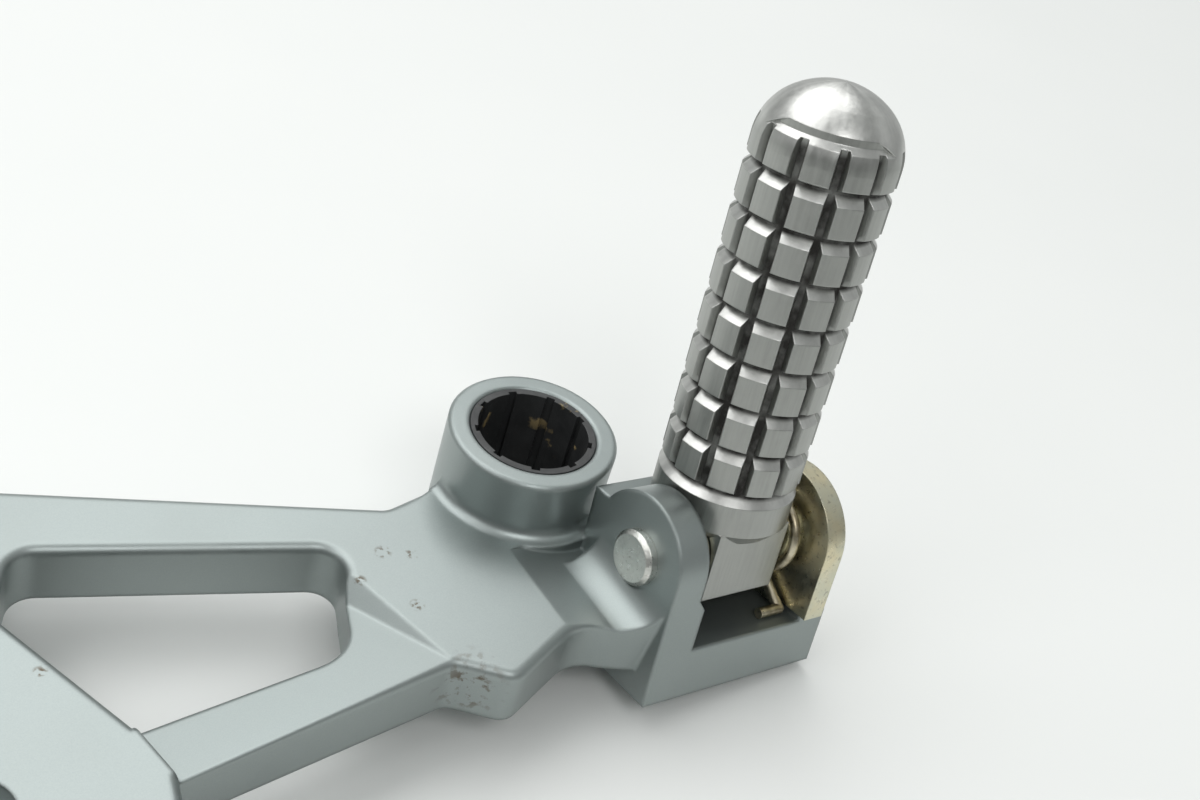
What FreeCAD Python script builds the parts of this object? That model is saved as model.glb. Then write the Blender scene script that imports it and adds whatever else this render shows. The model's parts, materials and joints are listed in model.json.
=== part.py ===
import FreeCAD, Part
import math
import os
import re

import Sketcher
from FreeCAD import Placement, Rotation, Vector

# A folding rider's footpeg on its cast bracket, in millimetres.
# The bracket lies on its frame-side face: z = 0 is that face, the Z axis is the pedal pivot's
# axis, and X follows the hinge pin seen from above. The hinge pieces have a frame of their own:
# x along the pin, y away from the fold, z up the peg, with its origin on the pin's axis.

DIMENSIONS = {
    # bracket plate
    "standoff": (9.5, "frame face to plate underside"),
    "plate_thickness": (10.4, "cast plate"),
    "edge_round": (1.6, "rounded upper edges of the plate"),
    "corner_round": (3.5, "outline corners of the plate"),
    "upper_mount_x": (-104.0, "upper frame bolt"),
    "upper_mount_y": (19.2, "upper frame bolt"),
    "lower_mount_x": (-104.0, "lower frame bolt"),
    "lower_mount_y": (-33.0, "lower frame bolt"),
    "panel_top": (36.96, "upper left corner, before its rounding"),
    "panel_round": (12.0, "left corners, round the frame bolts"),
    "lug_radius": (11.0, "lugs that stand on the frame"),
    "frame_bolt_radius": (4.25, "clearance hole for an 8 mm bolt"),
    "counterbore_radius": (6.8, "seat for the bolt head"),
    "counterbore_depth": (5.0, "seat for the bolt head"),
    "beam_end_x": (-26.0, "far edge of the upper beam, at the boss"),
    "beam_end_y": (0.8, "far edge of the upper beam, at the boss"),
    "pad_corner_x": (-24.0, "front corner of the pad"),
    "pad_corner_y": (-39.4, "front corner of the pad"),
    "beam_root_x": (-31.8, "lower beam's outer edge, at the pad"),
    "beam_root_y": (-33.0, "lower beam's outer edge, at the pad"),
    "beam_foot_x": (-77.2, "lower beam's outer edge, at the panel"),
    "beam_foot_y": (-37.2, "lower beam's outer edge, at the panel"),
    "panel_toe_x": (-79.0, "panel's lower corner"),
    "scallop_x": (-8.6, "notch between the pad and the hinge"),
    "scallop_y": (-41.6, "notch between the pad and the hinge"),
    "scallop_radius": (8.0, "notch between the pad and the hinge"),
    # window
    "window_top_left_x": (-84.3, "window corner"),
    "window_top_left_y": (10.1, "window corner"),
    "window_top_right_x": (-37.1, "window corner"),
    "window_top_right_y": (-5.2, "window corner"),
    "window_low_right_x": (-44.6, "window corner"),
    "window_low_right_y": (-24.8, "window corner"),
    "window_low_left_x": (-79.6, "window corner"),
    "window_low_left_y": (-26.4, "window corner"),
    "window_side_x": (-90.2, "window's left side, at the panel"),
    "window_side_y": (-1.0, "window's left side, at the panel"),
    "window_round": (4.5, "window corners"),
    "window_low_round": (9.0, "window corner at the lower beam"),
    # sunk face of the lower beam
    "sunk_turn": (106.5, "heading of the crease between pad and lower beam"),
    "sunk_slope": (8.5, "slope of the sunk face"),
    "sunk_wall_slope": (45.0, "slope of the wall at the crease"),
    # pedal pivot boss
    "boss_radius": (14.8, "boss"),
    "boss_rise": (11.3, "boss top above the pad"),
    "boss_chamfer": (0.5, "boss rim"),
    "boss_fillet": (2.2, "fillet at the foot of the boss"),
    "bore_radius": (11.0, "seat of the bush"),
    "bush_wall": (1.3, "bush"),
    "bush_recess": (0.2, "bush below the boss rim"),
    "bush_grooves": (9, "grease grooves"),
    "bush_groove_width": (1.5, "grease grooves"),
    "bush_groove_depth": (0.6, "grease grooves"),
    # hinge
    "hinge_x": (22.8, "middle of the hinge"),
    "hinge_y": (-28.8, "middle of the hinge"),
    "hinge_z": (25.0, "middle of the hinge"),
    "pin_dip": (5.5, "slope of the pin"),
    "peg_lean": (10.3, "lean of the peg, away from the fold"),
    "pin_radius": (4.0, "hinge pin"),
    "pin_fit": (0.05, "running clearance on the pin"),
    "head_radius": (4.75, "pin head"),
    "head_height": (2.0, "pin head"),
    "head_room": (0.6, "seat cut round the pin head"),
    "ear_outer": (19.0, "outer face of the cast ear"),
    "ear_inner": (12.8, "relieved inner face of the cast ear"),
    "ear_toe": (11.2, "inner face of the cast ear, near the floor"),
    "ear_shift": (0.6, "ear's middle, behind the pin"),
    "relief_drop": (5.6, "foot of the ear's relief, below the pin"),
    "relief_slope": (39.0, "slope at the foot of the ear's relief"),
    "slope_start": (-11.0, "where the pad starts to fall towards the ear"),
    "slope_angle": (9.0, "fall of the pad towards the ear"),
    "ear_blend": (6.5, "fillet between pad and cast ear"),
    "blend_sink": (0.05, "depth of a fillet's edge in the pad"),
    "thrust_radius": (5.4, "raised ring on the ear's inner face"),
    "floor_drop": (13.8, "hinge floor, below the pin"),
    "floor_thickness": (9.7, "hinge floor"),
    "front_reach": (10.2, "front face, ahead of the pin"),
    "wall_gap": (0.3, "rear wall to peg"),
    "wall_thickness": (4.4, "rear wall"),
    "stub_inner": (14.4, "stub at the floor's right end"),
    "stub_outer": (20.4, "stub at the floor's right end"),
    "stub_rise": (1.4, "stub above the floor"),
    "stub_depth": (5.4, "stub, front to back"),
    # steel ear plate
    "plate_inner": (13.4, "inner face of the steel ear"),
    "steel_thickness": (4.3, "steel ear"),
    "steel_radius": (12.0, "rounded top of the steel ear"),
    "steel_foot_rear": (9.8, "steel ear's foot"),
    "steel_foot_drop": (20.4, "steel ear's foot, below the pin"),
    "steel_gap": (0.2, "steel ear to stub"),
    "screw_radius": (2.0, "ear screws"),
    "screw_length": (11.0, "ear screws, under the head"),
    "screw_head_radius": (3.3, "ear screws"),
    "screw_head_height": (2.2, "ear screws"),
    "screw_socket": (1.5, "hexagon socket, corner radius"),
    "screw_socket_depth": (1.3, "hexagon socket"),
    "screw_drop": (17.0, "ear screws, below the pin"),
    "screw_first": (-0.4, "first ear screw, behind the pin"),
    "screw_spacing": (6.9, "between the ear screws"),
    # peg
    "peg_offset": (3.3, "peg's axis, behind the pin"),
    "peg_radius": (12.0, "peg over the teeth"),
    "collar_bottom": (5.6, "collar, above the pin"),
    "neck_radius": (10.2, "foot of the cone under the collar"),
    "neck_bottom": (3.4, "foot of the cone, above the pin"),
    "first_groove": (12.3, "lowest ring groove, above the pin"),
    "groove_pitch": (7.555, "between ring grooves"),
    "groove_count": (8, "ring grooves"),
    "groove_mouth": (2.5, "ring groove at the surface"),
    "groove_root": (0.5, "ring groove at its floor"),
    "tooth_bevel": (1.5, "slope on each tooth's upper end"),
    "groove_depth": (1.4, "ring grooves and slots"),
    "slot_count": (11, "slots along the peg"),
    "slot_mouth": (2.2, "slot at the surface"),
    "slot_root": (1.0, "slot at its floor"),
    "slot_turn": (5.9, "first slot's heading, from the pin"),
    "slot_overrun": (0.9, "slots past the last teeth"),
    "dome_overlap": (2.5, "start of the rounded tip, below the last teeth's ends"),
    "dome_rise": (10.8, "rounded tip"),
    "dome_shoulder": (10.2, "radius of the tip's shoulder"),
    "lip_turn": (222.0, "heading of the recess under the tip, from the pin"),
    "lip_slope": (40.2, "slope of the lip over that recess"),
    "lip_drop": (4.2, "lip's plane on the peg's axis, below the last teeth's ends"),
    "tongue_half": (8.0, "half the tongue's width"),
    "tongue_front": (6.3, "tongue's front face, ahead of the pin"),
    "tongue_rear": (9.0, "tongue's rear face, behind the pin"),
    "tongue_drop": (7.2, "tongue below the pin"),
    # spring, washers and clip
    "washer_thickness": (0.6, "thrust washer"),
    "side_gap": (0.2, "play beside the tongue"),
    "washer_room": (0.3, "round the washer and the spring"),
    "wire_radius": (0.95, "spring wire"),
    "wire_foot": (5.0, "spring's foot along the floor"),
    "coil_radius": (6.6, "spring, middle of the wire"),
    "coil_turns": (1.405, "spring"),
    "coil_pitch": (2.0, "spring"),
    "tang_length": (3.5, "spring end in the tongue"),
    "tang_room": (0.3, "round the spring end"),
    "sleeve_radius": (5.2, "sleeve inside the spring"),
    "end_washer_thickness": (1.0, "washer under the clip"),
    "end_washer_radius": (7.0, "washer under the clip"),
    "clip_thickness": (0.8, "retaining clip"),
    "clip_radius": (6.2, "retaining clip"),
    "clip_groove": (3.1, "clip groove in the pin, radius"),
    "clip_mouth": (4.6, "opening of the clip"),
    "pin_tail": (1.6, "pin past its clip"),
}

doc = FreeCAD.newDocument("footpeg")
sheet = doc.addObject("Spreadsheet::Sheet", "dims")
for row, (alias, (size, note)) in enumerate(DIMENSIONS.items(), start=1):
    sheet.set(f"A{row}", alias)
    sheet.set(f"B{row}", str(size))
    sheet.setAlias(f"B{row}", alias)
    sheet.set(f"C{row}", note)
doc.recompute()


def bound(text):
    """A formula of sheet names, written for an expression."""
    return re.sub(r"[a-z_]+", lambda word: f"dims.{word[0]}" if word[0] in DIMENSIONS else word[0], text)


def value(text):
    """The number that a formula of sheet names gives."""
    return float(sheet.evalExpression(bound(text)))


def bind(item, **formulas):
    for name, formula in formulas.items():
        item.setExpression(name, bound(formula))
    return item


def move(item, x="0", y="0", z="0"):
    for axis, formula in zip("xyz", (x, y, z)):
        item.setExpression(f"Placement.Base.{axis}", bound(formula))
    return item


HINGE = bound("placement(vector(hinge_x; hinge_y; hinge_z); rotation(0; pin_dip; -peg_lean))")


def at_hinge(item):
    item.setExpression("Placement", HINGE)
    return item


def on_pin(item, low="0"):
    """Turns something built along Z on to the pin, starting at the low place."""
    start = bound(f"placement(vector({low}; 0; 0); rotation(0; 90; 0))")
    item.setExpression("Placement", f"{HINGE} * {start}")
    return item


# Part primitives and booleans

ALONG_Z = Rotation()
ALONG_X = Rotation(Vector(0, 1, 0), 90)


def box(name, x, y, z):
    """A box from the low and high formulas of its three sides."""
    item = doc.addObject("Part::Box", name)
    bind(item, Length=f"({x[1]}) - ({x[0]})", Width=f"({y[1]}) - ({y[0]})", Height=f"({z[1]}) - ({z[0]})")
    return move(item, x[0], y[0], z[0])


def cylinder(name, radius, low, high, across=("0", "0"), along=ALONG_X):
    """A cylinder between two places on its axis; across gives the axis' other two coordinates."""
    item = doc.addObject("Part::Cylinder", name)
    bind(item, Radius=radius, Height=f"({high}) - ({low})")
    item.Placement = Placement(Vector(), along)
    if along is ALONG_X:
        return move(item, low, *across)
    return move(item, *across, low)


def fuse(name, *items):
    result = doc.addObject("Part::MultiFuse", name)
    result.Shapes = list(items)
    result.Refine = True
    return result


def cut(name, base, tool):
    result = doc.addObject("Part::Cut", name)
    result.Base = base
    result.Tool = tool
    result.Refine = True
    return result


def common(name, first, second):
    result = doc.addObject("Part::Common", name)
    result.Base = first
    result.Tool = second
    return result


def rounded(name, base, radius, chosen):
    """Rounds the edges of a finished solid that the chosen function picks."""
    doc.recompute()
    result = doc.addObject("Part::Fillet", name)
    result.Base = base
    size = value(radius)
    edges = enumerate(base.Shape.Edges, start=1)
    result.Edges = [(number, size, size) for number, edge in edges if chosen(edge)]
    return result


# Sketched bodies

def new_body(name):
    return doc.addObject("PartDesign::Body", name)


def new_sketch(body, name, role):
    sketch = body.newObject("Sketcher::SketchObject", name)
    plane = next(item for item in body.Origin.OriginFeatures if item.Role == role)
    sketch.AttachmentSupport = (plane, "")
    sketch.MapMode = "FlatFace"
    return sketch


def pin_point(sketch, curve, end, x, y):
    """Holds one end of a sketched curve at two formulas."""
    for kind, formula in (("DistanceX", x), ("DistanceY", y)):
        row = sketch.addConstraint(Sketcher.Constraint(kind, -1, 1, curve, end, value(formula)))
        sketch.setExpression(f"Constraints[{row}]", bound(formula))


def draw_polygon(sketch, points):
    """A closed run of straight lines through points given as pairs of formulas."""
    places = [Vector(value(x), value(y), 0) for x, y in points]
    curves = []
    for start, end in zip(places, places[1:] + places[:1]):
        curves.append(sketch.addGeometry(Part.LineSegment(start, end)))
    for curve, following in zip(curves, curves[1:] + curves[:1]):
        sketch.addConstraint(Sketcher.Constraint("Coincident", curve, 2, following, 1))
    for curve, (x, y) in zip(curves, points):
        pin_point(sketch, curve, 1, x, y)
    return curves


def revolve(body, sketch):
    turned = body.newObject("PartDesign::Revolution", body.Name + "_turned")
    turned.Profile = sketch
    turned.ReferenceAxis = (sketch, ["V_Axis"])
    turned.Angle = 360.0
    return turned


def turned_body(name, profile):
    """A body of revolution round Z from (radius, height) formulas."""
    body = new_body(name)
    sketch = new_sketch(body, name + "_profile", "XZ_Plane")
    draw_polygon(sketch, profile)
    revolve(body, sketch)
    return body


# Bracket plate

PLATE_TOP = "(standoff + plate_thickness)"
SUNK_REACH = "(lug_radius - beam_foot_x)"


def upright_edge(edge, points):
    """True for a vertical edge over one of the given points."""
    low, high = (vertex.Point for vertex in (edge.Vertexes[0], edge.Vertexes[-1]))
    upright = math.hypot(low.x - high.x, low.y - high.y) < 1e-6
    return upright and any(math.hypot(low.x - x, low.y - y) < 1e-3 for x, y in points)


def numbers(points):
    return [(value(x), value(y)) for x, y in points]


def prism(name, outline, low, height):
    body = new_body(name)
    sketch = new_sketch(body, name + "_outline", "XY_Plane")
    draw_polygon(sketch, outline)
    pad = body.newObject("PartDesign::Pad", name + "_pad")
    pad.Profile = sketch
    bind(pad, Length=height)
    return move(body, z=low)


def lug(name, x, y):
    return cylinder(name, "lug_radius", "0", "standoff + plate_thickness / 2", (x, y), ALONG_Z)


def frame_hole(name, x, y):
    shank = cylinder(name + "_shank", "frame_bolt_radius", "-1", PLATE_TOP + " + 1", (x, y), ALONG_Z)
    seat_low = PLATE_TOP + " - counterbore_depth"
    seat = cylinder(name + "_seat", "counterbore_radius", seat_low, PLATE_TOP + " + 1", (x, y), ALONG_Z)
    return fuse(name, shank, seat)


# The pad's front edge between the notch and the cast ear
EAR_CORNER = ("hinge_x - ear_outer", "hinge_y - front_reach")
NOTCH_END = ("scallop_x + scallop_radius * 0.6", "scallop_y + scallop_radius * 0.8")
BLEND_AREA = [
    EAR_CORNER,
    ("hinge_x - ear_inner", "hinge_y - front_reach"),
    ("hinge_x - ear_inner", "hinge_y + front_reach"),
    ("slope_start", "hinge_y + front_reach"),
    NOTCH_END,
]

# Outline from the upper frame bolt round the boss, the hinge, the lower beam and the panel.
PLATE_OUTLINE = [
    ("upper_mount_x - panel_round", "panel_top"),
    ("beam_end_x", "beam_end_y"),
    ("-boss_radius", "beam_end_y + boss_fillet"),
    ("boss_radius * 0.5", "boss_radius * 0.8"),
    ("hinge_x - ear_inner - 2", "hinge_y + front_reach + 2"),
    ("hinge_x - ear_inner - 2", "hinge_y - front_reach"),
    EAR_CORNER,
    NOTCH_END,
    ("scallop_x - scallop_radius * 0.42", "scallop_y + scallop_radius * 0.907"),
    ("pad_corner_x", "pad_corner_y"),
    ("beam_root_x", "beam_root_y"),
    ("beam_foot_x", "beam_foot_y"),
    ("panel_toe_x", "lower_mount_y - panel_round"),
    ("lower_mount_x - panel_round", "lower_mount_y - panel_round"),
]
ROUNDED_CORNERS = [PLATE_OUTLINE[index] for index in (1, 9, 10, 12)]
MOUNT_CORNERS = [PLATE_OUTLINE[index] for index in (0, 13)]
WINDOW = [
    ("window_top_left_x", "window_top_left_y"),
    ("window_top_right_x", "window_top_right_y"),
    ("window_low_right_x", "window_low_right_y"),
    ("window_low_left_x", "window_low_left_y"),
    ("window_side_x", "window_side_y"),
]
ROUNDED_WINDOW = [WINDOW[index] for index in (0, 1, 4)]
WIDE_CORNER = [WINDOW[2]]


# The sunk face ends at the panel, in the window and at the pad.
SUNK_AREA = [
    ("pad_corner_x", "pad_corner_y - plate_thickness"),
    ("window_top_right_x", "window_top_right_y - 2"),
    ("(window_top_right_x + window_side_x) / 2", "window_top_right_y - window_round"),
    ("window_low_left_x", "window_low_left_y"),
    ("beam_foot_x", "beam_foot_y"),
    ("beam_foot_x", "pad_corner_y - plate_thickness"),
]


def sunk_face():
    """Cutter for the lower beam's sunk face: above its sloping floor and outside the crease's wall."""
    corner = f"vector(beam_root_x; beam_root_y; {PLATE_TOP})"
    double = "2 * " + SUNK_REACH
    floor = doc.addObject("Part::Box", "sunk_floor")
    bind(floor, Length=SUNK_REACH, Width=SUNK_REACH, Height=SUNK_REACH)
    wall = doc.addObject("Part::Box", "sunk_wall")
    bind(wall, Length=double, Width=double, Height=SUNK_REACH)
    floor_turn = f"placement({corner}; rotation(sunk_turn; sunk_slope; 0))"
    wall_turn = f"placement({corner}; rotation(sunk_turn; 0; -sunk_wall_slope))"
    back = f"placement(vector(-{SUNK_REACH}; -{SUNK_REACH}; 0); rotation(0; 0; 0))"
    bind(floor, Placement=floor_turn)
    bind(wall, Placement=f"{wall_turn} * {back}")
    area = prism("sunk_area", SUNK_AREA, "standoff", "2 * plate_thickness")
    return common("sunk_cutter", common("sunk_slopes", floor, wall), area)


def pad_fall():
    """Cutter for the pad's fall towards the ear, as far as the foot of the boss."""
    fall = doc.addObject("Part::Box", "pad_fall")
    bind(fall, Length="4 * " + EAR_RADIUS, Width=SUNK_REACH, Height="ear_outer")
    return bind(fall, Placement=f"placement(vector(slope_start; -boss_radius - {SUNK_REACH}; {PLATE_TOP}); "
                                "rotation(0; slope_angle; 0))")


def plate():
    blank = prism("plate_blank", PLATE_OUTLINE, "standoff", "plate_thickness")
    corners = numbers(ROUNDED_CORNERS)
    blank = rounded("plate_corners", blank, "corner_round", lambda edge: upright_edge(edge, corners))
    mounts = numbers(MOUNT_CORNERS)
    blank = rounded("panel_corners", blank, "panel_round", lambda edge: upright_edge(edge, mounts))
    window = prism("window_blank", WINDOW, "standoff - 1", "plate_thickness + 2")
    sides = numbers(ROUNDED_WINDOW)
    window = rounded("window_corners", window, "window_round", lambda edge: upright_edge(edge, sides))
    wide = numbers(WIDE_CORNER)
    window = rounded("window_wide_corner", window, "window_low_round", lambda edge: upright_edge(edge, wide))
    scallop_foot = ("scallop_x", "scallop_y")
    scallop = cylinder("scallop", "scallop_radius", "standoff - 1", PLATE_TOP + " + 1", scallop_foot, ALONG_Z)
    lugs = [lug("upper_lug", "upper_mount_x", "upper_mount_y"),
            lug("lower_lug", "lower_mount_x", "lower_mount_y")]
    solid = fuse("plate_solid", blank, *lugs)
    opened = cut("plate_opened", solid, fuse("plate_openings", window, scallop))
    edged = rounded("plate_rounded", opened, "edge_round", upper_edge)
    return cut("sunk_plate", edged, fuse("plate_falls", sunk_face(), pad_fall()))


def upper_edge(edge):
    """True for the upper edges of the outline and the window that show as rounded."""
    top = value(PLATE_TOP)
    level = all(abs(vertex.Point.z - top) < 1e-4 for vertex in edge.Vertexes)
    middle = edge.CenterOfMass
    near_boss = math.hypot(middle.x, middle.y) < value("boss_radius + boss_fillet + 3")
    near_hinge = middle.x > value("hinge_x - ear_outer - 1")
    return level and abs(middle.z - top) < 1e-4 and not near_boss and not near_hinge


def boss():
    """The pedal pivot's boss with the fillet at its foot, round Z."""
    body = new_body("boss_turned")
    sketch = new_sketch(body, "boss_profile", "XZ_Plane")
    top = f"({PLATE_TOP} + boss_rise)"
    draw_polygon(sketch, [
        ("bore_radius", "0"),
        ("boss_radius", "0"),
        ("boss_radius", f"{top} - boss_chamfer"),
        ("boss_radius - boss_chamfer", top),
        ("bore_radius + boss_chamfer", top),
        ("bore_radius", f"{top} - boss_chamfer"),
    ])
    revolve(body, sketch)
    skirt = cylinder("boss_skirt", "boss_radius + boss_fillet", PLATE_TOP + " - boss_fillet",
                     PLATE_TOP + " + boss_fillet - blend_sink", along=ALONG_Z)
    hollow = bind(doc.addObject("Part::Torus", "boss_hollow"), Radius1="boss_radius + boss_fillet",
                  Radius2="boss_fillet")
    move(hollow, z=PLATE_TOP + " + boss_fillet - blend_sink")
    area = prism("foot_area", PLATE_OUTLINE, "standoff", "2 * plate_thickness")
    return fuse("boss", body, common("boss_foot", cut("hollow_skirt", skirt, hollow), area))


# Cast half of the hinge, in the hinge frame

EAR_RADIUS = "(front_reach + ear_shift)"
FLOOR = ("-floor_drop - floor_thickness", "-floor_drop")
WALL_FRONT = "(tongue_rear + wall_gap)"
WALL_REAR = f"({WALL_FRONT} + wall_thickness)"


def cast_hinge():
    floor = box("hinge_floor", ("-ear_outer", "stub_outer"), ("-front_reach", WALL_REAR), FLOOR)
    stub = box("floor_stub", ("stub_inner", "stub_outer"), ("-front_reach", "stub_depth - front_reach"),
               ("-floor_drop", "stub_rise - floor_drop"))
    ear_foot = box("ear_foot", ("-ear_outer", "-ear_toe"), ("-front_reach", f"ear_shift + {EAR_RADIUS}"),
                   ("-floor_drop", "0"))
    ear_top = cylinder("ear_top", EAR_RADIUS, "-ear_outer", "-ear_toe", ("ear_shift", "0"))
    wall = box("rear_wall", ("-ear_outer", "plate_inner"), (WALL_FRONT, WALL_REAR),
               ("-floor_drop", "collar_bottom - wall_gap"))
    return at_hinge(fuse("cast_hinge", floor, stub, ear_foot, ear_top, wall))


def ear_foot_blend():
    """The hollow fillet between the pad and the ear's outer face, along Y."""
    face = f"(hinge_x - ear_outer / cos(pin_dip) + ({PLATE_TOP} - hinge_z) * tan(pin_dip))"
    foot = f"({PLATE_TOP} - ({face} - ear_blend - slope_start) * tan(slope_angle))"
    middle = f"({face} + ({foot} + ear_blend - {PLATE_TOP}) * tan(pin_dip) - ear_blend / cos(pin_dip))"
    depth = ("hinge_y - front_reach - 2", f"hinge_y + {EAR_RADIUS} - edge_round")
    block = box("blend_block", (middle, f"{middle} + 1.5 * ear_blend"), depth,
                (f"{foot} - ear_blend", f"{foot} + ear_blend"))
    hollow = doc.addObject("Part::Cylinder", "blend_hollow")
    bind(hollow, Radius="ear_blend", Height="4 * " + EAR_RADIUS)
    hollow.Placement = Placement(Vector(), Rotation(Vector(1, 0, 0), -90))
    move(hollow, f"{middle} + blend_sink", "hinge_y - 2 * " + EAR_RADIUS, f"{foot} + ear_blend - blend_sink")
    area = prism("blend_area", BLEND_AREA, "standoff", "2 * plate_thickness")
    return common("ear_foot_blend", cut("hollow_blend", block, hollow), area)


def hinge_room():
    """What the cast half leaves open: the peg's room, the ear's relief and the steel ear's seat."""
    far = "(peg_radius * 4)"
    room = box("peg_room", ("-ear_toe", "plate_inner"), ("-" + far, WALL_FRONT), ("-floor_drop", far))
    step = "(ear_inner - ear_toe)"
    relief = box("ear_relief", ("-ear_inner", "0"), ("-" + far, WALL_FRONT),
                 (f"{step} / tan(relief_slope) - relief_drop", far))
    slope = box("relief_foot", ("0", "ear_toe"), ("-" + far, WALL_FRONT),
                ("0", f"{step} / sin(relief_slope)"))
    bind(slope, Placement=f"placement(vector(-ear_toe; -{far}; -relief_drop); rotation(0; -relief_slope; 0))")
    seat = box("steel_seat", ("plate_inner", "2 * stub_outer"), ("stub_depth - front_reach", far),
               ("-" + far, far))
    over_wall = box("collar_room", ("-ear_inner", "plate_inner"), ("0", far),
                    ("collar_bottom - wall_gap", far))
    return at_hinge(fuse("hinge_room", room, relief, slope, seat, over_wall))


def bracket():
    """The one-piece casting: plate, boss and hinge half."""
    raw = fuse("raw_casting", plate(), cast_hinge(), ear_foot_blend())
    opened = cut("opened_casting", raw, hinge_room())
    ring = on_pin(cylinder("thrust_ring", "thrust_radius", "-ear_inner", THRUST_FACE), "-ear_inner")
    below = box("below_frame_face", ("-2 * " + SUNK_REACH, SUNK_REACH), ("-" + SUNK_REACH, SUNK_REACH),
                ("-" + SUNK_REACH, "0"))
    holes = fuse(
        "casting_holes",
        cylinder("boss_bore", "bore_radius", "0", PLATE_TOP + " + boss_fillet", along=ALONG_Z),
        frame_hole("upper_frame_hole", "upper_mount_x", "upper_mount_y"),
        frame_hole("lower_frame_hole", "lower_mount_x", "lower_mount_y"),
        on_pin(pin_hole("casting_pin_bore", "-2 * ear_outer"), "-2 * ear_outer"),
        on_pin(cylinder("head_seat", "head_radius + head_room", "-2 * ear_outer", "-ear_outer"),
               "-2 * ear_outer"),
        at_hinge(screw_group("screw_tappings", "screw_radius", "plate_inner - screw_length + steel_thickness",
                             "plate_inner + 1")),
        below,
    )
    return cut("bracket_casting", fuse("whole_casting", opened, boss(), ring), holes)


# Pieces of the hinge, in the hinge frame

THRUST_FACE = "(-tongue_half - side_gap - washer_thickness)"
STEEL_OUTER = "(plate_inner + steel_thickness)"
CLIP_FACE = f"({STEEL_OUTER} + end_washer_thickness)"


def pin_hole(name, low):
    return cylinder(name, "pin_radius + pin_fit", low, "2 * stub_outer")


def screw_group(name, radius, low, high):
    rows = [cylinder(f"{name}_{index}", radius, low, high,
                     (f"screw_first + {index} * screw_spacing", "-screw_drop")) for index in range(2)]
    return fuse(name, *rows)


def turned_on_pin(name, profile):
    """A body of revolution round the pin from (radius, place along the pin) formulas."""
    return on_pin(turned_body(name, profile))


def hinge_pin():
    crown = "head_height * 0.35"
    groove_end = f"{CLIP_FACE} + clip_thickness"
    return turned_on_pin("hinge_pin", [
        ("0", "-ear_outer - head_height"),
        (f"head_radius - {crown}", "-ear_outer - head_height"),
        ("head_radius", f"-ear_outer - head_height + {crown}"),
        ("head_radius", "-ear_outer"),
        ("pin_radius", "-ear_outer"),
        ("pin_radius", CLIP_FACE),
        ("clip_groove", CLIP_FACE),
        ("clip_groove", groove_end),
        ("pin_radius", groove_end),
        ("pin_radius", f"{groove_end} + pin_tail * 0.6"),
        ("pin_radius - pin_tail * 0.4", f"{groove_end} + pin_tail"),
        ("0", f"{groove_end} + pin_tail"),
    ])


def ring_on_pin(name, radius, low, high):
    bore = "pin_radius + pin_fit"
    return turned_on_pin(name, [(bore, low), (radius, low), (radius, high), (bore, high)])


def retaining_clip():
    groove_end = f"{CLIP_FACE} + clip_thickness"
    disc = cylinder("clip_disc", "clip_radius", CLIP_FACE, groove_end)
    hole = cylinder("clip_hole", "clip_groove", f"{CLIP_FACE} - 1", f"{groove_end} + 1")
    mouth = box("clip_gap", (f"{CLIP_FACE} - 1", f"{groove_end} + 1"), ("0", "2 * clip_radius"),
                ("-clip_mouth / 2", "clip_mouth / 2"))
    return at_hinge(cut("retaining_clip", disc, fuse("clip_opening", hole, mouth)))


def ear_plate():
    """The stamped steel ear that closes the hinge on the right."""
    sides = ("plate_inner", STEEL_OUTER)
    stub_top = "stub_rise - floor_drop + steel_gap"
    stub_back = "stub_depth - front_reach + steel_gap"
    top = cylinder("steel_top", "steel_radius", *sides)
    nose = box("steel_nose", sides, ("-steel_radius", "steel_radius"), (stub_top, "0"))
    rear_trim = box("steel_rear_trim", ("0", "2 * stub_outer"), ("steel_foot_rear", "2 * steel_radius"),
                    ("-2 * steel_radius", "0"))
    foot = box("steel_foot", sides, (stub_back, "steel_foot_rear"), ("-steel_foot_drop", "0"))
    holes = fuse("steel_holes", pin_hole("steel_pin_bore", "0"), rear_trim,
                 screw_group("steel_screw_holes", "screw_radius + pin_fit", "0", "2 * stub_outer"))
    return at_hinge(cut("ear_plate", fuse("steel_blank", top, nose, foot), holes))


def ear_screws():
    head_top = f"{STEEL_OUTER} + screw_head_height"
    tip = f"{STEEL_OUTER} - screw_length"
    shanks = screw_group("screw_shanks", "screw_radius", tip, head_top)
    heads = screw_group("screw_heads", "screw_head_radius", STEEL_OUTER, head_top)
    sockets = []
    for index in range(2):
        socket = doc.addObject("Part::Prism", f"screw_socket_{index}")
        socket.Polygon = 6
        bind(socket, Circumradius="screw_socket", Height="screw_socket_depth + 1")
        socket.Placement = Placement(Vector(), ALONG_X)
        sockets.append(move(socket, f"{head_top} - screw_socket_depth",
                            f"screw_first + {index} * screw_spacing", "-screw_drop"))
    return at_hinge(cut("ear_screws", fuse("screw_blanks", shanks, heads), fuse("sockets", *sockets)))


# Peg

TEETH_END = "(first_groove + groove_count * groove_pitch - groove_mouth / 2)"
DOME_BASE = f"({TEETH_END} - dome_overlap)"
DOME_TIP = f"({DOME_BASE} + dome_rise)"
GRIP_START = "(first_groove - groove_mouth / 2 + tooth_bevel)"


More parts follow.
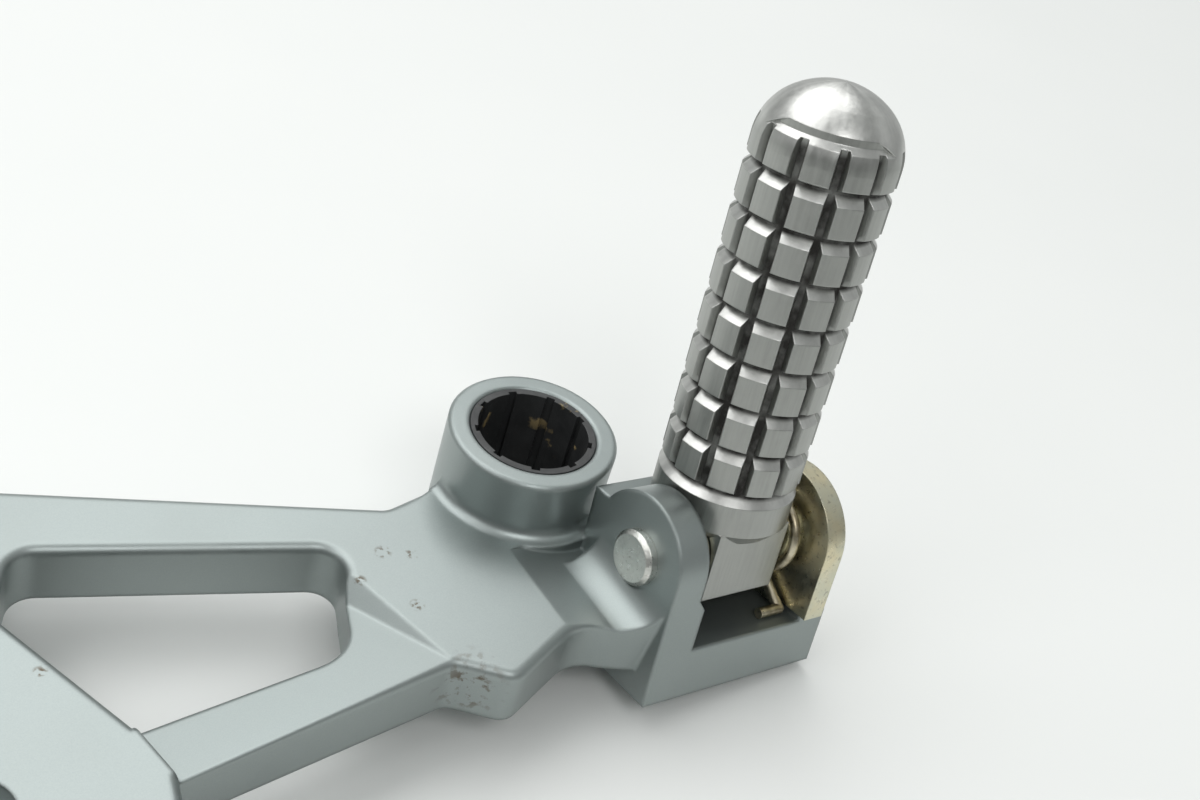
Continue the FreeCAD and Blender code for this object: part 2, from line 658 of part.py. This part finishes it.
def peg_profile(sketch):
    """Half section of the turned peg: cone, collar, ring grooves and rounded tip."""
    points = [("0", "neck_bottom"), ("neck_radius", "neck_bottom"), ("peg_radius", "collar_bottom")]
    for index in range(int(value("groove_count"))):
        middle = f"first_groove + {index} * groove_pitch"
        bevel_end = f"{middle} - groove_mouth / 2 + tooth_bevel"
        points += [
            ("peg_radius", f"{middle} - groove_mouth / 2"),
            ("peg_radius - groove_depth", bevel_end),
            ("peg_radius - groove_depth", f"{bevel_end} + groove_root"),
            ("peg_radius", f"{middle} + groove_mouth / 2"),
        ]
    points += [("peg_radius", DOME_BASE)]
    places = [Vector(value(x), value(y), 0) for x, y in points]
    lines = [sketch.addGeometry(Part.LineSegment(*pair)) for pair in zip(places, places[1:])]
    for line, following in zip(lines, lines[1:]):
        sketch.addConstraint(Sketcher.Constraint("Coincident", line, 2, following, 1))
    for line, (x, y) in zip(lines, points):
        pin_point(sketch, line, 1, x, y)
    pin_point(sketch, lines[-1], 2, *points[-1])
    draw_dome(sketch, lines[0], lines[-1])


def draw_dome(sketch, first_line, last_line):
    """The tip: a shoulder arc that leaves the side as a tangent, and a crown arc level at the tip."""
    radius, base, tip, shoulder = map(value, ("peg_radius", DOME_BASE, DOME_TIP, "dome_shoulder"))
    rise = tip - base
    crown = (radius ** 2 - 2 * radius * shoulder + rise ** 2) / (2 * (rise - shoulder))
    shoulder_middle = Vector(radius - shoulder, base, 0)
    crown_middle = Vector(0, tip - crown, 0)
    heading = math.atan2(shoulder_middle.y - crown_middle.y, shoulder_middle.x)
    up = Vector(0, 0, 1)
    arcs = [Part.ArcOfCircle(Part.Circle(shoulder_middle, up, shoulder), 0, heading),
            Part.ArcOfCircle(Part.Circle(crown_middle, up, crown), heading, math.pi / 2)]
    low, high = (sketch.addGeometry(arc) for arc in arcs)
    closing = sketch.addGeometry(Part.LineSegment(Vector(0, tip, 0), Vector(0, value("neck_bottom"), 0)))
    sketch.addConstraint(Sketcher.Constraint("Tangent", last_line, 2, low, 1))
    sketch.addConstraint(Sketcher.Constraint("Tangent", low, 2, high, 1))
    sketch.addConstraint(Sketcher.Constraint("PointOnObject", high, 3, -2))
    row = sketch.addConstraint(Sketcher.Constraint("Radius", low, shoulder))
    sketch.setExpression(f"Constraints[{row}]", bound("dome_shoulder"))
    pin_point(sketch, high, 2, "0", DOME_TIP)
    sketch.addConstraint(Sketcher.Constraint("Coincident", high, 2, closing, 1))
    sketch.addConstraint(Sketcher.Constraint("Coincident", closing, 2, first_line, 1))


def toothed_peg():
    """The turned peg with its slots, round its own axis."""
    body = new_body("toothed_peg")
    sketch = new_sketch(body, "peg_section", "XZ_Plane")
    peg_profile(sketch)
    revolve(body, sketch)
    doc.recompute()
    section = new_sketch(body, "slot_section", "XY_Plane")
    bind(section, **{"AttachmentOffset.Base.z": GRIP_START})
    root = "peg_radius - groove_depth"
    flare = "(slot_mouth + (slot_mouth - slot_root) / groove_depth) / 2"
    draw_polygon(section, [
        (root, "-slot_root / 2"),
        ("peg_radius + 1", f"-{flare}"),
        ("peg_radius + 1", flare),
        (root, "slot_root / 2"),
    ])
    slot = body.newObject("PartDesign::Pocket", "slot")
    slot.Profile = section
    slot.Reversed = True
    bind(slot, Length=f"{TEETH_END} + slot_overrun - {GRIP_START}")
    doc.recompute()
    row = body.newObject("PartDesign::PolarPattern", "slots")
    row.Originals = [slot]
    row.Axis = (section, ["N_Axis"])
    row.Angle = 360.0
    bind(row, Occurrences="slot_count")
    body.Tip = row
    body.setExpression("Placement", bound("placement(vector(0; peg_offset; 0); rotation(slot_turn; 0; 0))"))
    return body


def tip_recess():
    """Cutter for the shallow recess over the front teeth, which ends under a sloping lip."""
    far = "(2 * peg_radius)"
    fall = "(peg_radius / groove_depth * tooth_bevel)"
    ring = turned_body("recess_ring", [
        ("peg_radius - groove_depth", f"{TEETH_END} + tooth_bevel"),
        (far, f"{TEETH_END} - {fall}"),
        (far, f"2 * {DOME_TIP}"),
        ("peg_radius - groove_depth", f"2 * {DOME_TIP}"),
    ])
    move(ring, y="peg_offset")
    below = bind(doc.addObject("Part::Box", "below_lip"), Length=f"4 * {far}", Width=f"4 * {far}", Height=far)
    lip = f"placement(vector(0; peg_offset; {TEETH_END} - lip_drop); rotation(lip_turn; -lip_slope; 0))"
    corner = f"placement(vector(0; -2 * {far}; -{far}); rotation(0; 0; 0))"
    bind(below, Placement=f"{lip} * {corner}")
    return common("tip_recess", ring, below)


def footpeg():
    """The peg, one piece: toothed grip, collar and the tongue that turns on the pin."""
    tongue = box("tongue_block", ("-tongue_half", "tongue_half"), ("-tongue_front", "tongue_rear"),
                 ("-tongue_drop", "collar_bottom"))
    blank = fuse("peg_blank", toothed_peg(), tongue)
    far = "(2 * peg_radius)"
    rear_flat = box("rear_flat", ("-" + far, far), ("tongue_rear", far + " * 2"),
                    ("-" + far, "collar_bottom"))
    left_face = cylinder("left_face", "thrust_radius + washer_room", "-" + far, "-tongue_half")
    right_face = cylinder("right_face", COIL_ROOM, "tongue_half", far)
    heel_block = box("heel_block", ("-" + far, far), ("0", far), ("-" + far, "0"))
    heel_round = cylinder("heel_round", "tongue_rear", "-2 * " + far, "2 * " + far)
    heel = cut("heel_cutter", heel_block, heel_round)
    tang_hole = cylinder("tang_hole", "wire_radius + tang_room", "tongue_half - tang_length - tang_room", far,
                         TANG_PLACE)
    tools = fuse("peg_cutters", rear_flat, left_face, right_face, tip_recess(), heel, tang_hole,
                 pin_hole("peg_pin_bore", "-" + far))
    return at_hinge(cut("footpeg", blank, tools))


# Spring

COIL_ROOM = "(coil_radius + wire_radius + washer_room)"
COIL_START = "(tongue_half + side_gap + wire_radius)"
# The coil leaves the tongue above the pin.
TANG_PLACE = ("0", "coil_radius")


def return_spring():
    """A wire coil round the pin: one end set in the tongue, the other a leg with a foot on the hinge floor."""
    radius, wire, start = value("coil_radius"), value("wire_radius"), value(COIL_START)
    turns, pitch = value("coil_turns"), value("coil_pitch")
    coil = Part.makeHelix(pitch, turns * pitch, radius)
    coil.rotate(Vector(), Vector(0, 1, 0), 90)
    coil = coil.mirror(Vector(), Vector(0, 0, 1))
    coil.translate(Vector(start, 0, 0))
    ends = [vertex.Point for vertex in coil.Vertexes]
    first = min(ends, key=lambda point: point.x)
    last = max(ends, key=lambda point: point.x)
    tang_end = Vector(value("tongue_half - tang_length"), first.y, first.z)
    # The leg leaves the coil as its tangent and ends over the floor.
    leg_height = value("-floor_drop + side_gap") + wire
    leg_end = Vector(last.x, last.y + (last.z - leg_height) * last.z / last.y, leg_height)
    foot_end = leg_end - Vector(value("wire_foot"), 0, 0)
    edge = coil.Edges[0]
    begin = edge.valueAt(edge.FirstParameter)
    ring = Part.Wire(Part.makeCircle(wire, begin, edge.tangentAt(edge.FirstParameter)))
    lengths = []
    for begin, finish in ((tang_end, first), (last, leg_end), (leg_end, foot_end)):
        run = finish - begin
        lengths.append(Part.makeCylinder(wire, run.Length, begin, run))
    # Balls a little over the wire's size close the bends.
    joints = [Part.makeSphere(wire + value("blend_sink"), point) for point in (first, last, leg_end)]
    spring = doc.addObject("Part::Feature", "return_spring")
    spring.Shape = Part.Wire(coil.Edges).makePipeShell([ring], True, True)
    for piece in joints + lengths:
        spring.Shape = spring.Shape.fuse(piece)
    return at_hinge(spring)


# Bush of the pedal pivot

def pivot_bush():
    top = f"({PLATE_TOP} + boss_rise - bush_recess)"
    inner = "bore_radius - bush_wall"
    ring = turned_body("bush_ring", [(inner, "0"), ("bore_radius", "0"), ("bore_radius", top), (inner, top)])
    grooves = []
    for index in range(int(value("bush_grooves"))):
        groove = box(f"bush_groove_{index}", ("0", f"{inner} + bush_groove_depth"),
                     ("-bush_groove_width / 2", "bush_groove_width / 2"), ("-1", f"2 * {top}"))
        turn = f"placement(vector(0; 0; 0); rotation({index} * 360 / bush_grooves; 0; 0))"
        side = "placement(vector(0; -bush_groove_width / 2; -1); rotation(0; 0; 0))"
        groove.setExpression("Placement", bound(f"{turn} * {side}"))
        grooves.append(groove)
    return cut("pivot_bush", ring, fuse("bush_grooves_cutter", *grooves))


# Every separate piece, under the name of its file

pieces = {
    "bracket_casting": bracket(),
    "pivot_bush": pivot_bush(),
    "footpeg": footpeg(),
    "hinge_pin": hinge_pin(),
    "thrust_washer": ring_on_pin("thrust_washer", "thrust_radius", THRUST_FACE, "-tongue_half - side_gap"),
    "spring_sleeve": ring_on_pin("spring_sleeve", "sleeve_radius", "tongue_half + side_gap", "plate_inner"),
    "return_spring": return_spring(),
    "ear_plate": ear_plate(),
    "ear_screws": ear_screws(),
    "end_washer": ring_on_pin("end_washer", "end_washer_radius", STEEL_OUTER, CLIP_FACE),
    "retaining_clip": retaining_clip(),
}
doc.recompute()

for item in doc.Objects:
    if {"Invalid", "Error"} & set(item.State):
        raise RuntimeError(f"{item.Name} failed: {item.State}")
for label, piece in pieces.items():
    piece.Label = label
    if piece.Shape.isNull() or not piece.Shape.isValid():
        raise RuntimeError(f"{label} has no valid shape")

os.makedirs("parts", exist_ok=True)
for label, piece in pieces.items():
    piece.Shape.exportStep(f"parts/{label}.step")
    print(label, len(piece.Shape.Solids), "solids", round(piece.Shape.Volume, 1), "mm3")
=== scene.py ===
import json
import math

import bpy
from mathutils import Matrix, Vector

# Looks of the folding footpeg on its cast bracket, in metres.

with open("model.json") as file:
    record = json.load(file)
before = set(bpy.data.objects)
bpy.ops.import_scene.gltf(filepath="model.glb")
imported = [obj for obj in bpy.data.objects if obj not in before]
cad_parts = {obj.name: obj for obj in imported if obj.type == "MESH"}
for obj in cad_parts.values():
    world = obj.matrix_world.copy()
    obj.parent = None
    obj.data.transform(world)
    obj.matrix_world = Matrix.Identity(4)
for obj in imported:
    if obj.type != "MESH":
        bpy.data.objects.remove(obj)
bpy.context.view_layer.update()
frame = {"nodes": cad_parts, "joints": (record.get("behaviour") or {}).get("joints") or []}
MM = 0.001

# Camera at the photograph's view: place, turn and focal length fitted to the bore, the pin and the peg
CAMERA_PLACE = Vector((-141.6, -153.6, 194.8)) * MM
CAMERA_TURN = (52.26, -14.74, -34.03)
FOCAL_LENGTH = 46.54

# The peg's own line, from the hinge
HINGE = Vector(frame["joints"][0]["pos_m"])
PIN = Vector(frame["joints"][0]["axis"]).normalized()
PEG_LEAN = math.radians(10.3)
PIN_SQUARE = Vector((-PIN.z, 0, PIN.x))
PEG_UP = (PIN_SQUARE * math.cos(PEG_LEAN) + Vector((0, 1, 0)) * math.sin(PEG_LEAN)).normalized()
PEG_BACK = PEG_UP.cross(PIN)
PEG_SETBACK = 3.3 * MM
PEG_AXIS = HINGE + PEG_BACK * PEG_SETBACK
PEG_RADIUS = 12 * MM

# Height of the casting's flat top
PLATE_TOP = 19.9 * MM

NOISE_ROUGHNESS = 0.55
BEVEL_SAMPLES = 6


class Look:
    """A material whose nodes are added one after another; positions are the piece's own."""

    def __init__(self, name, **constants):
        self.material = bpy.data.materials.new(name)
        self.material.use_nodes = True
        self.nodes = self.material.node_tree.nodes
        self.surface = self.nodes["Principled BSDF"]
        texture_place = self.add("ShaderNodeTexCoord")
        self.place = texture_place.outputs["Object"]
        self.facing = texture_place.outputs["Normal"]
        for socket, value in constants.items():
            self.surface.inputs[socket.title()].default_value = value

    def add(self, kind, inputs=(), **settings):
        node = self.nodes.new(kind)
        for name, value in settings.items():
            setattr(node, name, value)
        for socket, value in dict(inputs).items():
            self.put(node.inputs[socket], value)
        return node

    def put(self, socket, value):
        if isinstance(value, bpy.types.NodeSocket):
            self.material.node_tree.links.new(value, socket)
        else:
            socket.default_value = value

    def math(self, operation, first, second):
        return self.add("ShaderNodeMath", {0: first, 1: second}, operation=operation).outputs[0]

    def weighted(self, first, first_share, second, second_share):
        """The sum of two values, each times its share."""
        return self.math("ADD", self.math("MULTIPLY", first, first_share),
                         self.math("MULTIPLY", second, second_share))

    def vector(self, operation, first, second=(0, 0, 0)):
        node = self.add("ShaderNodeVectorMath", {0: first, 1: second}, operation=operation)
        return node.outputs["Value" if operation in ("LENGTH", "DOT_PRODUCT", "DISTANCE") else "Vector"]

    def scaled(self, direction, factor):
        node = self.add("ShaderNodeVectorMath", {0: direction, "Scale": factor}, operation="SCALE")
        return node.outputs["Vector"]

    def noise(self, scale, detail, place=None):
        inputs = {"Vector": place or self.place, "Scale": scale, "Detail": detail, "Roughness": NOISE_ROUGHNESS}
        return self.add("ShaderNodeTexNoise", inputs).outputs["Fac"]

    def stretched(self, share, along):
        """The place with only a share of its run along a line, so that noise on it makes streaks that way."""
        run = self.vector("DOT_PRODUCT", self.place, along)
        return self.vector("SUBTRACT", self.place, self.scaled(self.scaled(along, run), 1 - share))

    def span(self, value, low, high, to_low=0.0, to_high=1.0):
        """The value carried from one range to another, held at the ends."""
        inputs = {"Value": value, "From Min": low, "From Max": high, "To Min": to_low, "To Max": to_high}
        return self.add("ShaderNodeMapRange", inputs).outputs["Result"]

    def near(self, centre, inner, outer):
        """1 within the inner distance of a point, 0 past the outer one."""
        return self.span(self.vector("DISTANCE", self.place, centre), inner, outer, 1.0, 0.0)

    def mix(self, share, first, second):
        node = self.add("ShaderNodeMix", {"Factor": share}, data_type="RGBA")
        sockets = [entry for entry in node.inputs if entry.type == "RGBA"]
        for socket, value in zip(sockets, (first, second)):
            if not isinstance(value, bpy.types.NodeSocket):
                value = (*value, 1.0)
            self.put(socket, value)
        return [entry for entry in node.outputs if entry.type == "RGBA"][0]

    def colour(self, value):
        self.put(self.surface.inputs["Base Color"], value)

    def roughness(self, value):
        self.put(self.surface.inputs["Roughness"], value)

    def relief(self, height, depth, edge):
        """Surface relief of a depth in metres, with edges that catch light over an edge width in metres."""
        soft = self.add("ShaderNodeBevel", {"Radius": edge}, samples=BEVEL_SAMPLES).outputs["Normal"]
        inputs = {"Height": height, "Distance": depth, "Strength": 1.0, "Normal": soft}
        self.put(self.surface.inputs["Normal"], self.add("ShaderNodeBump", inputs).outputs["Normal"])


# Finishes

DIRT = (0.13, 0.085, 0.045)
# Near-black colour of the painted shade in the peg's grooves
GROOVE_SHADE = (0.05, 0.048, 0.045)
GREASE = (0.45, 0.34, 0.16)
PIT = (0.20, 0.18, 0.14)

# Scuffs on the casting's top: x, y and radius in mm
SCUFFS = [
    (-31.5, -8.4, 1.6),
    (-27.2, -10.3, 1.3),
    (-37.8, -12.7, 1.2),
    (-31.8, -20.5, 1.4),
    (-72.9, 4.5, 1.4),
    (-87.8, -13.5, 1.2),
]
RESIDUE = Vector((-29.5, -35.0, 15.5)) * MM

# Heights above the hinge between which the grooves get painted shade, each with its fade
GRIP_FOOT = (10.5 * MM, 11.5 * MM)
GRIP_HEAD = (71 * MM, 72 * MM)


def silver_paint():
    """Satin metallic paint on the casting: fine flakes, scuffs, and dried dirt at the pad's front corner."""
    look = Look("silver_paint", metallic=0.85)
    flakes = look.noise(5200, 2.0)
    cloud = look.noise(45, 3.0)
    tone = look.weighted(flakes, 0.35, cloud, 0.65)
    paint = look.mix(tone, (0.23, 0.262, 0.258), (0.38, 0.418, 0.41))
    crust = look.span(look.noise(520, 4.0), 0.53, 0.63)
    dirt = look.math("MULTIPLY", look.near(RESIDUE, 1.5 * MM, 6.5 * MM), crust)
    chips = look.span(look.noise(900, 4.0), 0.5, 0.58)
    for x, y, size in SCUFFS:
        spot = look.near(Vector((x * MM, y * MM, PLATE_TOP)), 0.3 * MM, size * MM)
        dirt = look.math("MAXIMUM", dirt, look.math("MULTIPLY", spot, chips))
    look.colour(look.mix(look.math("MULTIPLY", dirt, 0.85), paint, DIRT))
    sheen = look.span(cloud, 0.3, 0.7, 0.33, 0.43)
    look.roughness(look.weighted(sheen, 1.0, dirt, 0.3))
    look.relief(look.weighted(look.noise(650, 3.0), 0.6, flakes, 0.4), 0.015 * MM, 1.0 * MM)
    return look.material


def bare_alloy():
    """The peg's bare alloy: dull tooth faces, a painted highlight where it faces its tip, painted shade in the
    grooves.
    """
    look = Look("bare_alloy", metallic=1.0)
    from_axis = look.vector("SUBTRACT", look.place, PEG_AXIS)
    rise = look.vector("DOT_PRODUCT", from_axis, PEG_UP)
    outward = look.vector("SUBTRACT", from_axis, look.scaled(PEG_UP, rise))
    radius = look.vector("LENGTH", outward)
    streaks = look.noise(1500, 3.0, look.stretched(0.06, PEG_UP))
    cloud = look.noise(160, 4.0)
    grain = look.weighted(streaks, 0.6, cloud, 0.4)
    dull = look.mix(grain, (0.25, 0.255, 0.243), (0.5, 0.508, 0.485))
    # Painted reflection: light and dark bands run down the rounded tip.
    reflection_bands = look.span(look.noise(2.4, 2.0, look.vector("NORMALIZE", outward)), 0.35, 0.65)
    # Grain streaks mixed with the painted reflection bands.
    grain_and_reflection = look.weighted(grain, 0.5, reflection_bands, 0.5)
    # Lighter colour of the painted highlight, laid on surfaces that face the tip as if lit from above.
    highlight_tint = look.mix(grain_and_reflection, (0.36, 0.362, 0.35), (0.8, 0.8, 0.775))
    upward = look.vector("DOT_PRODUCT", look.facing, PEG_UP)
    # Mask of the painted highlight: faces turned towards the tip, broken up by noise.
    painted_highlight = look.math("MULTIPLY", look.span(upward, 0.12, 0.35), look.span(cloud, 0.3, 0.6, 0.7, 1.0))
    # Painted shade: the grooves between the grip's ends are darkened to near black, in patches.
    deep = look.span(radius, PEG_RADIUS - 1.4 * MM, PEG_RADIUS - 0.9 * MM, 1.0, 0.0)
    on_grip = look.math("MULTIPLY", look.span(rise, *GRIP_FOOT), look.span(rise, *GRIP_HEAD, 1.0, 0.0))
    patches = look.span(look.noise(300, 4.0), 0.3, 0.6, 0.55, 1.0)
    groove_shade = look.math("MULTIPLY", look.math("MULTIPLY", deep, on_grip), patches)
    look.colour(look.mix(groove_shade, look.mix(painted_highlight, dull, highlight_tint), GROOVE_SHADE))
    sheen = look.span(grain, 0.3, 0.7, 0.30, 0.46)
    look.roughness(look.weighted(sheen, 1.0, groove_shade, 0.3))
    look.relief(look.math("ADD", streaks, look.noise(900, 4.0)), 0.025 * MM, 0.3 * MM)
    return look.material


def zinc_plating(name, first, second, pit_depth):
    """Zinc plating that drifts between two tints, with small pits."""
    look = Look(name, metallic=1.0)
    tint = look.mix(look.span(look.noise(140, 3.0), 0.35, 0.65), first, second)
    spots = look.span(look.noise(1200, 4.0), 0.58, 0.72)
    look.colour(look.mix(look.math("MULTIPLY", spots, 0.5), tint, PIT))
    look.roughness(look.span(look.noise(700, 3.0), 0.3, 0.7, 0.25, 0.42))
    look.relief(look.noise(1100, 4.0), pit_depth, 0.3 * MM)
    return look.material


def spring_steel():
    """Spring wire with a worn golden film."""
    look = Look("spring_steel", metallic=1.0)
    film = look.span(look.noise(400, 3.0), 0.35, 0.65)
    look.colour(look.mix(film, (0.30, 0.26, 0.18), (0.66, 0.60, 0.46)))
    look.roughness(look.span(look.noise(900, 3.0), 0.3, 0.7, 0.25, 0.45))
    look.relief(look.noise(1500, 3.0), 0.01 * MM, 0.1 * MM)
    return look.material


def bush_polymer():
    """Dark bush with dried grease in flakes."""
    look = Look("bush_polymer")
    base = look.mix(look.noise(220, 3.0), (0.012, 0.013, 0.014), (0.05, 0.052, 0.052))
    flakes = look.span(look.noise(260, 5.0), 0.62, 0.68)
    patches = look.span(look.noise(90, 2.0), 0.45, 0.6)
    grease = look.math("MULTIPLY", flakes, patches)
    look.colour(look.mix(grease, base, GREASE))
    look.roughness(look.span(look.noise(300, 3.0), 0.3, 0.7, 0.28, 0.6))
    look.relief(look.weighted(look.noise(700, 4.0), 1.0, grease, 2.0), 0.06 * MM, 0.2 * MM)
    return look.material


yellow_zinc = zinc_plating("yellow_zinc", (0.70, 0.64, 0.45), (0.60, 0.61, 0.50), 0.03 * MM)
silver_zinc = zinc_plating("silver_zinc", (0.58, 0.59, 0.56), (0.70, 0.70, 0.66), 0.12 * MM)
spring = spring_steel()
FINISHES = {
    "bracket_casting": silver_paint(),
    "footpeg": bare_alloy(),
    "pivot_bush": bush_polymer(),
    "hinge_pin": silver_zinc,
    "return_spring": spring,
    "retaining_clip": spring,
}
for name, node in frame["nodes"].items():
    node.data.materials.clear()
    node.data.materials.append(FINISHES.get(name, yellow_zinc))

# Floor, light and camera

FLOOR_REACH = 3.0
LIGHT_AIM = Vector((0, 0, 0.02))
BRIGHT_SIDE = Vector((0.30, 0.45, 0.84))
ROOM_TINT = (0.97, 1.0, 0.99, 1.0)


def pale_floor():
    mesh = bpy.data.meshes.new("floor")
    reach = FLOOR_REACH
    corners = [(-reach, -reach, 0), (reach, -reach, 0), (reach, reach, 0), (-reach, reach, 0)]
    mesh.from_pydata(corners, [], [(0, 1, 2, 3)])
    floor = bpy.data.objects.new("floor", mesh)
    bpy.context.scene.collection.objects.link(floor)
    look = Look("pale_floor", roughness=0.6)
    look.colour(look.mix(look.noise(8, 3.0), (0.80, 0.815, 0.80), (0.84, 0.85, 0.835)))
    mesh.materials.append(look.material)


def soft_light(name, place, size, power):
    """A rectangular lamp turned to the object."""
    lamp = bpy.data.lights.new(name, "AREA")
    lamp.shape = "RECTANGLE"
    lamp.size, lamp.size_y = size
    lamp.energy = power
    item = bpy.data.objects.new(name, lamp)
    item.location = place
    item.rotation_euler = (LIGHT_AIM - Vector(place)).to_track_quat("-Z", "Y").to_euler()
    bpy.context.scene.collection.objects.link(item)


def studio_world():
    """A pale room, bright overhead and at the back, dim on the camera's side."""
    world = bpy.data.worlds.new("studio")
    world.use_nodes = True
    nodes, links = world.node_tree.nodes, world.node_tree.links
    room = nodes["Background"]
    direction = nodes.new("ShaderNodeTexCoord").outputs["Generated"]
    bright_side = nodes.new("ShaderNodeVectorMath")
    bright_side.operation = "DOT_PRODUCT"
    links.new(direction, bright_side.inputs[0])
    bright_side.inputs[1].default_value = BRIGHT_SIDE
    shade = nodes.new("ShaderNodeMapRange")
    links.new(bright_side.outputs["Value"], shade.inputs["Value"])
    for socket, value in (("From Min", -0.5), ("From Max", 0.8), ("To Min", 0.14), ("To Max", 0.55)):
        shade.inputs[socket].default_value = value
    links.new(shade.outputs["Result"], room.inputs["Strength"])
    room.inputs["Color"].default_value = ROOM_TINT
    bpy.context.scene.world = world


pale_floor()
studio_world()
soft_light("main_softbox", (-0.08, 0.8, 1.3), (2.1, 1.3), 17.0)
soft_light("left_softbox", (-0.6, 0.0, 0.6), (0.4, 0.4), 0.9)
soft_light("front_softbox", (-0.2, -0.55, 0.75), (0.4, 0.3), 1.8)

camera_data = bpy.data.cameras.new("camera")
camera_data.sensor_width = 36.0
camera_data.lens = FOCAL_LENGTH
camera_data.clip_start = 0.01
camera = bpy.data.objects.new("camera", camera_data)
camera.location = CAMERA_PLACE
camera.rotation_euler = [math.radians(angle) for angle in CAMERA_TURN]
bpy.context.scene.collection.objects.link(camera)
bpy.context.scene.camera = camera
bpy.context.scene.view_settings.view_transform = "Standard"
